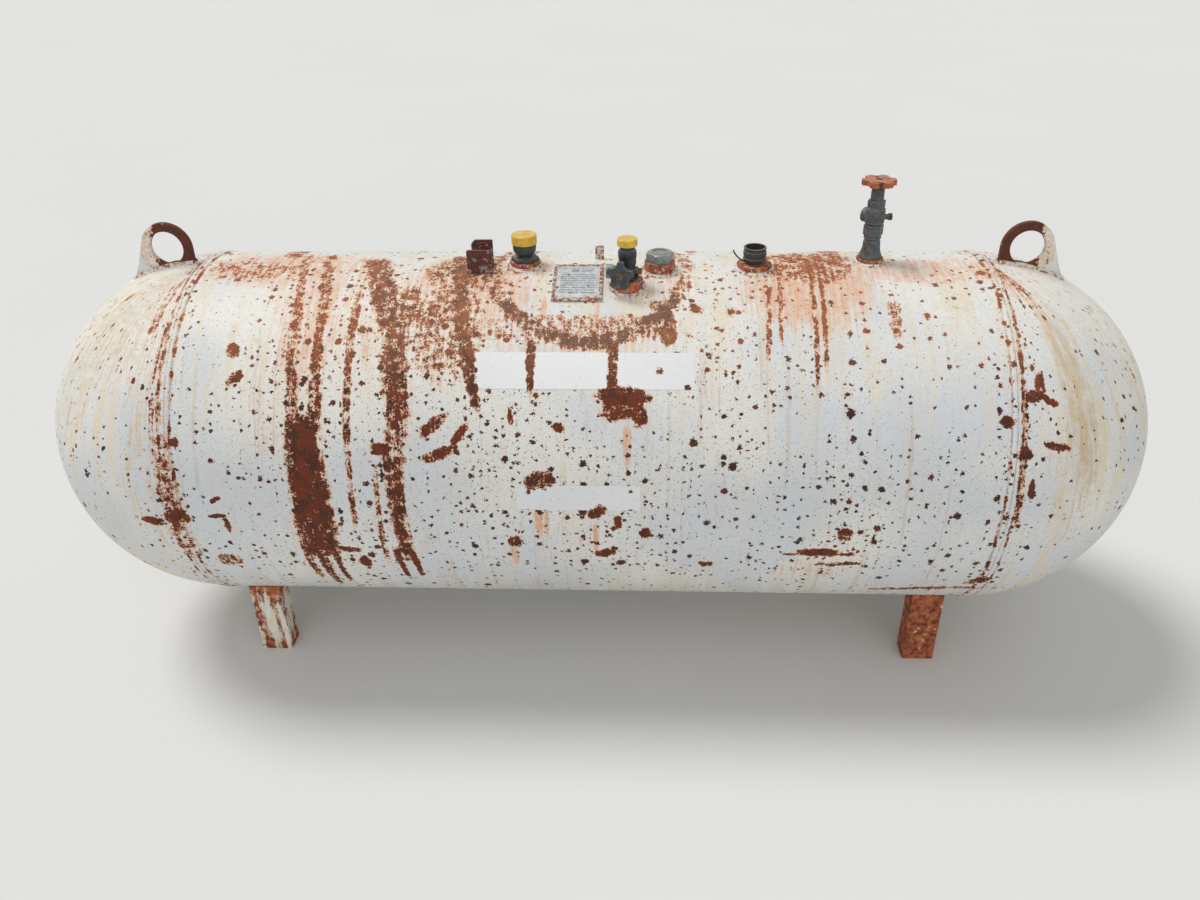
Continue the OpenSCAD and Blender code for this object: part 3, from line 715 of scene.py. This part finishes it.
def lug_paint():
    """White paint on a thick plate, rusted round its eye, at its foot and along its edges."""
    low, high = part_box("lug_right")
    g = Graph("lug_paint")
    x, z = g.split(g.point)[::2]
    uneven = g.noise(g.point, 70, 4, 0.66) - 0.5
    fine = g.noise(g.point, 380, 3, 0.6) - 0.5
    past_eye = abs(x) - (low.x + EYE_END)
    length = g.add("VectorMath", g.vector(past_eye, 0.0, z - (high.z - EYE_END)), operation="LENGTH")
    heel = g.ramp(past_eye, 12 * MM, 34 * MM)
    round_eye = g.ramp(length.outputs["Value"], EYE_RUST, EYE_RUST - RUST_FADE) * (1.0 - heel * 0.55)
    foot_top = CREST_Z - FOOT_RUST
    foot = g.ramp(z, foot_top + RUST_FADE, foot_top - RUST_FADE)
    field = g.largest(round_eye * 0.9, foot * 0.72, g.edges(2.2 * MM) * 0.78)
    field = field + uneven * 1.6 + fine * 0.5
    bare = g.ramp(field, 0.54, 0.62)
    stain = g.ramp(field, 0.12, 0.56)
    coat = g.mix(g.ramp(uneven, -0.1, 0.12), CHALK, CHALK_COOL_SKY_SHADE)
    coat = g.mix(stain * 0.8, coat, g.mix(g.ramp(fine, -0.1, 0.1), CREAM, PEACH))
    rust = g.mix(g.ramp(uneven + fine, -0.12, 0.16), RUST_BROWN, RUST_RED)
    colour = g.mix(bare, coat, rust)
    return g.finish(colour, g.ramp(bare, 0.0, 1.0, 0.55, 0.9), fine * 0.4 - bare * 0.6, 0.5 * MM)


def leg_paint():
    """The left legs keep drips of white paint over rust, and the right ones are bare and orange."""
    g = Graph("leg_paint_worn")
    x, y, z = g.split(g.point)
    drips = g.noise(g.vector(x * 60.0, y * 60.0, z * 7.0), 1.0, 4, 0.65)
    tone = g.noise(g.point, 60, 5, 0.66)
    fine = g.noise(g.point, 400, 3, 0.62)
    rust = g.mix(g.ramp(tone, 0.38, 0.60), RUST_RED, RUST_ORANGE)
    rust = g.mix(g.ramp(fine, 0.55, 0.75) * 0.6, rust, RUST_BROWN)
    middle = g.inside(z, 10 * MM, 150 * MM, 50 * MM)
    kept = g.ramp(drips + middle * 0.22 + (tone + fine - 1.0) * 0.5, 0.62, 0.70)
    left = g.ramp(x, 0.0, -0.1) * kept
    specks = g.ramp(x, 0.0, 0.1) * g.ramp(tone + drips * 0.4, 0.84, 0.88)
    white = g.mix(g.ramp(tone, 0.45, 0.65), CHALK, CREAM)
    colour = g.mix(g.largest(left, specks), rust, white)
    roughness = g.ramp(left + fine * 0.2, 0.0, 1.0, 0.88, 0.6)
    return g.finish(colour, roughness, left * 0.5 + fine * 0.5, 0.6 * MM)


def add_object(name, data):
    """Puts a mesh, a lamp or a camera into the scene."""
    thing = bpy.data.objects.new(name, data)
    bpy.context.scene.collection.objects.link(thing)
    return thing


def put_material(piece, material):
    piece.data.materials.clear()
    piece.data.materials.append(material)


def add_piece(name, bm, material, body="tank", smooth=35):
    """Turns a bmesh into a piece that moves with its body, smooth but for edges over that angle."""
    bmesh.ops.recalc_face_normals(bm, faces=bm.faces)
    for edge in bm.edges:
        edge.smooth = len(edge.link_faces) == 2 and edge.calc_face_angle(0.0) < math.radians(smooth)
    for face in bm.faces:
        face.smooth = True
    mesh = bpy.data.meshes.new(name)
    bm.to_mesh(mesh)
    bm.free()
    piece = add_object(name, mesh)
    put_material(piece, material)
    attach(piece, body)
    return piece


def grid(bm, rows, closed=False):
    """Faces between rows of points, joined end to end where the rows are closed into a ring."""
    lines = [[bm.verts.new(point) for point in row] for row in rows]
    if closed:
        lines.append(lines[0])
    for near, far in zip(lines, lines[1:]):
        for k in range(len(near) - 1):
            bm.faces.new((near[k], near[k + 1], far[k + 1], far[k]))


def on_tank(along, top, lift):
    """The point lift above the shell at that place along it and that angle from the crest."""
    angle = math.radians(top)
    r = RADIUS + lift
    return Vector((along, -r * math.sin(angle), AXIS_Z + r * math.cos(angle)))


def seated(point, lift):
    """The point moved straight out or in to lift above the surface of the tank."""
    centre = Vector((max(-HALF, min(HALF, point.x)), 0, AXIS_Z))
    return centre + (point - centre).normalized() * (RADIUS + lift)


# How deep a weld's toes lie under the surface, how far a fillet weld runs into its corner, and the
# length over which its ripples turn by a radian
WELD_SINK = 0.3 * MM
WELD_LAP = 0.6 * MM
RIPPLE = 0.6 * MM


def fillet(name, rail, width, height, material, closed=False, seed=0.0):
    """A rippled weld along a corner on the tank.

    The rail lists the corner's points, each with the way out along the plate and the way up the
    piece that is welded on.
    """
    bm = bmesh.new()
    rows = []
    length = 0.0
    last = rail[0][0]
    for corner, out, up in rail:
        length += (corner - last).length
        last = corner
        lumps = noise.noise(Vector((length * 55, seed, 0)))
        ripple = 1 + 0.20 * lumps + 0.06 * math.sin(length / RIPPLE)
        row = []
        for k in range(7):
            turn = math.pi / 2 * k / 6
            foot = seated(corner + out * (width * ripple * math.cos(turn) - WELD_LAP), -WELD_SINK)
            row.append(foot + up * (height * ripple * math.sin(turn)))
        rows.append(row)
    grid(bm, rows, closed)
    add_piece(name, bm, material)


def smooth_copy(node, radius, material, body="tank"):
    """Stands in for a CAD node: the same form with its edges rounded by that many millimetres."""
    bm = bmesh.new()
    bm.from_mesh(nodes[node].data)
    bm.transform(nodes[node].matrix_world)
    bmesh.ops.remove_doubles(bm, verts=bm.verts, dist=0.01 * MM)
    bmesh.ops.dissolve_limit(bm, angle_limit=math.radians(1), verts=bm.verts, edges=bm.edges)
    piece = add_piece(node + "_rounded", bm, material, body, smooth=30)
    bevel = piece.modifiers.new("bevel", "BEVEL")
    bevel.width = radius * MM
    bevel.segments = 2
    bevel.limit_method = "ANGLE"
    bevel.angle_limit = math.radians(40)
    bevel.harden_normals = True
    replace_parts(piece, node)


def tank_paint(name, low, high):
    """The tank's paint for the part of it from low to high off its middle, in millimetres."""
    streaks = reaching(STREAKS, low, high, 2)
    return paint(name, streaks, reaching(PATCHES, low, high), reaching(WASHES, low, high))


seam_place = HALF / MM
seam_reach = 12
shell_paint = tank_paint("shell_paint_worn", 0, seam_place + seam_reach)
seam_paint = tank_paint("seam_paint_worn", seam_place - seam_reach, seam_place + seam_reach)
head_paint = tank_paint("head_paint_worn", seam_place - seam_reach, math.inf)

# The film takes the marks that reach the blank banner or the blank notice
film_reach = 260
film_paint = paint(
    "film_worn",
    [row for row in STREAKS if abs(row[0]) < film_reach and row[4] < 60 and row[5] > 45],
    [row for row in PATCHES if abs(row[0]) < film_reach and 40 < row[1] < 100],
    [],
    film=True)
weld_paint = rusty("weld_painted", rgb(196, 132, 94), rgb(140, 84, 60), rgb(222, 216, 206), 0.74)
coupling_rust = rusty("coupling_rust", rgb(196, 116, 78), rgb(126, 66, 46), rgb(214, 190, 172), 0.25)
dark_rust = rusty("dark_rust", rgb(134, 84, 60), rgb(84, 54, 42), rgb(150, 130, 112), 0.15)
frame_rust = rusty("frame_rust", rgb(166, 98, 64), rgb(104, 64, 48), rgb(206, 194, 180), 0.55)
legs_worn = leg_paint()
lugs_worn = lug_paint()
# In each coat below, the colour after the share of rust is that of its pale edges, partly wear and
# partly painted highlight
tab_paint = weathered(
    "tab_worn", rgb(232, 226, 218), rgb(214, 200, 188), rgb(190, 112, 76), 0.42,
    rgb(176, 104, 76), 0.6, worn_lit_width=3.0, dust=0.2)

valve_dark = weathered(
    "valve_dark_worn", rgb(64, 72, 68), rgb(44, 50, 47), rgb(120, 80, 56), 0.10,
    rgb(150, 148, 136), 0.50, dust=0.45)
valve_blue = weathered(
    "valve_blue_worn", rgb(62, 72, 80), rgb(42, 50, 56), rgb(120, 86, 62), 0.06,
    rgb(156, 160, 156), 0.34, metallic=0.3, dust=0.35)
stop_green = weathered(
    "stop_green_worn", rgb(88, 98, 98), rgb(58, 66, 66), rgb(134, 90, 62), 0.20,
    rgb(178, 178, 166), 0.5, dust=0.5)
relief_black = weathered(
    "relief_black_worn", rgb(62, 62, 60), rgb(44, 44, 44), rgb(124, 82, 58), 0.16,
    rgb(186, 178, 160), 0.5, dust=0.5)
cap_yellow = weathered(
    "cap_yellow_worn", rgb(234, 194, 66), rgb(214, 168, 50), rgb(140, 110, 60), 0.02,
    rgb(250, 226, 120), 0.45, dust=0.5, worn_lit_width=0.8)
bracket_maroon = weathered(
    "bracket_worn", rgb(104, 46, 38), rgb(72, 36, 32), rgb(196, 186, 176), 0.30,
    rgb(176, 120, 104), 0.62, dust=0.4)
zinc = weathered(
    "zinc_worn", rgb(150, 158, 156), rgb(116, 124, 124), rgb(150, 110, 82), 0.05,
    rgb(206, 210, 206), 0.42, metallic=0.5, dust=0.4)
wheel_grey = weathered(
    "wheel_grey_worn", rgb(74, 80, 84), rgb(54, 58, 62), rgb(120, 84, 62), 0.10,
    rgb(186, 188, 184), 0.48, metallic=0.3, worn_lit_width=2.2)
wheel_orange = weathered(
    "wheel_orange_worn", rgb(190, 104, 62), rgb(160, 80, 50), rgb(110, 64, 46), 0.30,
    rgb(214, 176, 150), 0.6, worn_lit_width=1.6, dust=0.5)
plate_face = weathered(
    "plate_face_worn", rgb(206, 212, 214), rgb(184, 192, 198), rgb(170, 110, 78), 0.12,
    rgb(222, 224, 222), 0.42, metallic=0.15, dust=0.6)
plate_print = weathered(
    "plate_print_worn", rgb(150, 160, 170), rgb(126, 136, 148), rgb(170, 120, 90), 0.10,
    rgb(196, 202, 204), 0.5, dust=0.3, worn_lit_width=0.2)
rubber = weathered(
    "rubber_black", rgb(40, 40, 40), rgb(30, 30, 30), rgb(60, 54, 48), 0.0,
    rgb(80, 78, 74), 0.7, worn_lit_width=0.4)

# The CAD nodes that stay, by the material they get
STAYING = [
    (shell_paint, ("shell", "long_weld")),
    (head_paint, ("head_left", "head_right")),
    (legs_worn, LEGS),
    (coupling_rust, COUPLINGS),
    (dark_rust, ("bleeder_screw", "service_stem", "service_wheel_screw")),
    (dark_rust, ("stop_stem", "stop_wheel_screw")),
    (frame_rust, ("plate_frame",)),
    (cap_yellow, ("fill_cap", "service_cap")),
    (rubber, ("relief_tether",)),
    (plate_face, ("data_plate",)),
]

# The CAD nodes whose edges are rounded: to how many millimetres, and with which material
ROUNDED = [
    ("lug_left", 1.6, lugs_worn),
    ("lug_right", 1.6, lugs_worn),
    ("hood_stop_tab", 0.8, tab_paint),
    ("hood_hinge_bracket", 0.8, bracket_maroon),
    ("fill_valve", 0.8, valve_dark),
    ("service_valve", 0.9, valve_blue),
    ("service_outlet_plug", 0.6, zinc),
    ("hex_plug", 0.9, zinc),
    ("relief_valve", 0.5, relief_black),
    ("stop_adapter", 0.7, stop_green),
    ("stop_body", 1.0, stop_green),
    ("stop_bonnet", 0.9, stop_green),
    ("stop_port_plug", 0.7, relief_black),
    ("service_wheel", 0.9, wheel_grey, "service_handwheel"),
    ("stop_wheel", 1.2, wheel_orange, "stop_handwheel"),
]


def girth_weld(node):
    """A seam with two low crowns and fine ripples, in place of the CAD weld."""
    low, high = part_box(node)
    middle = (low.x + high.x) / 2
    half = (high.x - low.x) / 2
    rise = high.z - CREST_Z
    ripples = 400
    steps = 4 * ripples
    profile = [-1, -0.9, -0.66, -0.42, -0.2, 0, 0.2, 0.42, 0.66, 0.9, 1]
    rows = []
    for i in range(steps):
        turn = math.tau * i / steps
        row = []
        for across in profile:
            crown = (1 - across * across) * (1 - 0.42 * math.exp(-(across / 0.22) ** 2))
            wave = 0.86 + 0.14 * math.sin(ripples * turn + 2.4 * across * across)
            place = Vector((math.sin(turn) * 14, math.cos(turn) * 14, across + middle))
            lump = 1 + 0.10 * noise.noise(place)
            lift = rise * min(1.0, crown * wave * lump * 1.12) - WELD_SINK * abs(across) ** 8
            r = RADIUS + lift
            x = middle + across * half
            row.append(Vector((x, r * math.sin(turn), AXIS_Z + r * math.cos(turn))))
        rows.append(row)
    bm = bmesh.new()
    grid(bm, rows, closed=True)
    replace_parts(add_piece(node + "_rippled", bm, seam_paint, smooth=70), node)


def coupling_weld(node):
    """A weld all round the foot of a coupling."""
    low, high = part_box(node)
    middle = (low + high) / 2
    r = (high.x - low.x) / 2
    rail = []
    steps = 120
    for i in range(steps):
        turn = math.tau * i / steps
        out = Vector((math.cos(turn), math.sin(turn), 0))
        y = middle.y + r * out.y
        corner = Vector((middle.x + r * out.x, y, AXIS_Z + math.sqrt(RADIUS ** 2 - y * y)))
        rail.append((corner, out, Vector((0, 0, 1))))
    fillet(node + "_weld", rail, 6.5 * MM, 5 * MM, weld_paint, closed=True, seed=middle.x * 9)


def leg_weld(node):
    """Runs round the three outer faces of a leg, where they are coped to the shell."""
    low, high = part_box(node)
    back, face = sorted((low.y, high.y), key=abs)
    side = math.copysign(1, face)
    steps = 14
    shares = [i / steps for i in range(steps + 1)]
    path = [(low.x, back + (face - back) * i, (-1, 0, 0)) for i in shares[:-1]]
    path += [(low.x + (high.x - low.x) * i, face, ((2 * i - 1) ** 5, side, 0)) for i in shares]
    path += [(high.x, face + (back - face) * i, (1, 0, 0)) for i in shares[1:]]
    rail = []
    for x, y, out in path:
        corner = Vector((x, y, AXIS_Z - math.sqrt(RADIUS ** 2 - y * y)))
        rail.append((corner, Vector(out).normalized(), Vector((0, 0, -1))))
    fillet(node + "_weld", rail, 6 * MM, 5 * MM, legs_worn, seed=low.x + side)


def lug_weld(node):
    """Two welds, one along each face of a lug, from its root by the seam to its heel."""
    low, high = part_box(node)
    sign = math.copysign(1, high.x)
    inner, outer = sorted(abs(x) - HALF for x in (low.x, high.x))
    half = high.y
    r = math.sqrt(RADIUS ** 2 - half * half)
    for face in (-1, 1):
        rail = []
        steps = 60
        for i in range(steps + 1):
            x = inner + (outer - inner) * i / steps
            z = math.sqrt(r * r - x * x)
            up = Vector((sign * x, 0, z)).normalized()
            corner = Vector((sign * (HALF + x), face * half, AXIS_Z + z))
            rail.append((corner, Vector((0, face, 0)), up))
        side = "front" if face < 0 else "back"
        fillet(f"{node}_weld_{side}", rail, 7 * MM, 7 * MM, weld_paint, seed=x + face)


def film(name, ends, angles, lift):
    """A sheet of that thickness on the shell, stuck down and slightly wavy."""
    bm = bmesh.new()
    columns = 60
    lines = 14
    for side in (0, 1):
        rows = []
        for i in range(lines + 1):
            top = angles[0] + (angles[1] - angles[0]) * i / lines
            row = []
            for k in range(columns + 1):
                x = ends[0] + (ends[1] - ends[0]) * k / columns
                wave = 0.1 * MM * noise.noise(Vector((x * 30, top * 0.3, 0)))
                row.append(on_tank(x, top, (lift + wave) * side))
            rows.append(row)
        grid(bm, rows)
    bmesh.ops.bridge_loops(bm, edges=[edge for edge in bm.edges if edge.is_boundary])
    add_piece(name, bm, film_paint)


def lathe(name, profile, centre, material):
    """A turned piece: the profile lists radius and height in millimetres from the axis outwards."""
    bm = bmesh.new()
    steps = 64
    rows = []
    for i in range(steps):
        turn = math.tau * i / steps
        across = Vector((math.cos(turn), math.sin(turn), 0)) * MM
        rows.append([centre + across * r + Vector((0, 0, z * MM)) for r, z in profile])
    grid(bm, rows, closed=True)
    bmesh.ops.remove_doubles(bm, verts=bm.verts, dist=0.001 * MM)
    add_piece(name, bm, material)


def plate_block(bm, ends, angles, low, high):
    """A small raised field, with its faces at those heights over the shell."""
    corners = [(x, top) for top in angles for x in ends]
    verts = [bm.verts.new(on_tank(x, top, lift)) for lift in (low, high) for x, top in corners]
    for quad in ((0, 1, 3, 2), (4, 6, 7, 5), (0, 4, 5, 1), (1, 5, 7, 3), (3, 7, 6, 2), (2, 6, 4, 0)):
        bm.faces.new([verts[k] for k in quad])


# The data plate's header fields, as shares of its width and height: left, right, above and below,
# and how high each stands. Then the widths of the fields in three rows that repeat below them.
PLATE_HEADER = [
    (0.10, 0.90, 0.075, 0.085, 0.3 * MM),
    (0.34, 0.52, 0.12, 0.235, 0.4 * MM),
    (0.56, 0.86, 0.14, 0.17, 0.3 * MM),
    (0.56, 0.80, 0.20, 0.225, 0.3 * MM),
]
PLATE_ROWS = [(0.22, 0.34, 0.16), (0.30, 0.18, 0.24), (0.14, 0.26, 0.34)] * 3
RIVET_EDGE = 0.05
RIVET_PROFILE = [(0, 1.2), (1.1, 1.0), (1.9, 0.4), (2.1, -1.0)]


def data_plate_fields():
    """A blank header and rows of blank fields on the data plate, and a round head in each corner."""
    low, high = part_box("data_plate")
    face = Vector((0, high.y, high.z - AXIS_Z)).length - RADIUS
    near, far = (math.degrees(math.asin(-y / (RADIUS + face))) for y in (high.y, low.y))
    span = far - near
    width = high.x - low.x
    bm = bmesh.new()

    def block(left, right, above, below, thick=0.3 * MM):
        plate_block(bm, (low.x + width * left, low.x + width * right),
                    (near + span * above, near + span * below), face - 0.1 * MM, face + thick)

    for field in PLATE_HEADER:
        block(*field)
    first, pitch, height, margin, gap = 0.30, 0.068, 0.026, 0.10, 0.035
    for i, shares in enumerate(PLATE_ROWS):
        above = first + pitch * i
        left = margin
        for share in shares:
            block(left, left + share, above, above + height)
            left += share + gap
    add_piece("data_plate_fields", bm, plate_print)

    edges = (RIVET_EDGE, 1 - RIVET_EDGE)
    corners = [(left, above) for above in edges for left in edges]
    for number, (left, above) in enumerate(corners, 1):
        spot = on_tank(low.x + width * left, near + span * above, face)
        lathe(f"data_plate_rivet_{number}", RIVET_PROFILE, spot, zinc)


def ear_ridge():
    """The pressed arch on the back ear of the hinge bracket."""
    half_width = 1.8 * MM
    height = 1.4 * MM
    reach = 15 * MM
    foot = 14 * MM
    below_top = 7 * MM
    off_middle = 1 * MM
    ear_thick = 4 * MM
    low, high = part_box("hood_hinge_bracket")
    middle = (low.x + high.x) / 2
    centre = Vector((middle + off_middle, high.y - ear_thick, high.z - below_top - reach))
    path = [centre + Vector((-reach, 0, -foot))]
    steps = 24
    for i in range(steps + 1):
        turn = math.pi * (1 - i / steps)
        path.append(centre + Vector((math.cos(turn), 0, math.sin(turn))) * reach)
    path.append(centre + Vector((reach, 0, -foot)))
    bm = bmesh.new()
    rows = []
    for i, point in enumerate(path):
        ahead = path[min(i + 1, len(path) - 1)] - path[max(i - 1, 0)]
        side = ahead.cross(Vector((0, 1, 0))).normalized()
        row = []
        for k in range(9):
            turn = math.pi * k / 8
            raised = Vector((0, -height * math.sin(turn), 0))
            row.append(point + side * (half_width * math.cos(turn)) + raised)
        rows.append(row)
    grid(bm, rows)
    add_piece("hinge_ear_ridge", bm, bracket_maroon)


SEAT_DEPTH = 22 * MM
SEAT_PROFILE = [(0, 7), (2.4, 6.6), (3.4, 5), (3.6, 2.4), (9, 2), (10.5, 1), (11, -0.2)]


def relief_seat():
    """The pale spring seat at the bottom of the relief valve's open cup."""
    low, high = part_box("relief_valve")
    centre = (low + high) / 2
    centre.z = high.z - SEAT_DEPTH
    lathe("relief_spring_seat", SEAT_PROFILE, centre, zinc)


# The blank sheets: their ends along the tank, their angles from the crest, and their thickness
BANNER = ((-211 * MM, 211 * MM), (40.7, 51.8), 0.45 * MM)
NOTICE = ((-131 * MM, 109 * MM), (80.0, 88.0), 0.25 * MM)

for material, staying in STAYING:
    for node in staying:
        put_material(nodes[node], material)
WELDS = [(girth_weld, GIRTH_WELDS), (coupling_weld, COUPLINGS), (leg_weld, LEGS), (lug_weld, LUGS)]
for weld, places in WELDS:
    for node in places:
        weld(node)
film("banner_blank", *BANNER)
film("notice_blank", *NOTICE)
for rounded in ROUNDED:
    smooth_copy(*rounded)
data_plate_fields()
ear_ridge()
relief_seat()


def studio():
    """A pale floor, a soft sun from behind on the left, a weak one from the front, and a pale sky."""
    mesh = bpy.data.meshes.new("floor")
    size = 30.0
    corners = [(-size, -size, 0), (size, -size, 0), (size, size, 0), (-size, size, 0)]
    mesh.from_pydata(corners, [], [(0, 1, 2, 3)])
    floor = add_object("floor", mesh)
    g = Graph("floor_pale")
    put_material(floor, g.finish(g.mix(g.noise(g.point, 0.6, 2), FLOOR_SHADE, FLOOR_LIGHT), 0.9))

    def sun(name, direction, strength, spread):
        light = bpy.data.lights.new(name, "SUN")
        light.energy = strength
        light.angle = math.radians(spread)
        lamp = add_object(name, light)
        lamp.rotation_mode = "QUATERNION"
        lamp.rotation_quaternion = Vector(direction).to_track_quat("-Z", "Y")

    sun("key_light", (0.42, -0.16, -0.89), strength=1.75, spread=22)
    sun("fill_light", (-0.10, 0.80, -0.58), strength=0.55, spread=60)

    world = bpy.data.worlds.new("studio")
    bpy.context.scene.world = world
    g = Graph("studio", world)
    path = g.add("LightPath")
    seen = g.largest(path.outputs["Is Camera Ray"], path.outputs["Is Glossy Ray"])
    back = g.add("Background", g.mix(seen, SKY, BACKDROP))
    g.add("OutputWorld", back.outputs[0])
    bpy.context.scene.view_settings.view_transform = "Standard"


# The photograph's camera, worked out from the tank's outline: its place off the tank's middle, its
# turns in degrees, yaw to the right and pitch downwards, and its lens and sensor in millimetres
CAMERA_OFF = (0.1124, -1.9945, 1.1034)
CAMERA_YAW = -2.81
CAMERA_PITCH = 30.55
CAMERA_ROLL = -0.98
CAMERA_LENS = 30.0
CAMERA_SENSOR = 36.0


def camera():
    data = bpy.data.cameras.new("camera")
    data.sensor_width = CAMERA_SENSOR
    data.lens = CAMERA_LENS
    data.clip_end = 100.0
    view = add_object("camera", data)
    place = Matrix.Translation(Vector(CAMERA_OFF) + Vector((0, 0, AXIS_Z)))
    yaw = Matrix.Rotation(math.radians(-CAMERA_YAW), 4, "Z")
    pitch = Matrix.Rotation(math.radians(90 - CAMERA_PITCH), 4, "X")
    roll = Matrix.Rotation(math.radians(CAMERA_ROLL), 4, "Z")
    view.matrix_world = place @ yaw @ pitch @ roll
    bpy.context.scene.camera = view


studio()
camera()
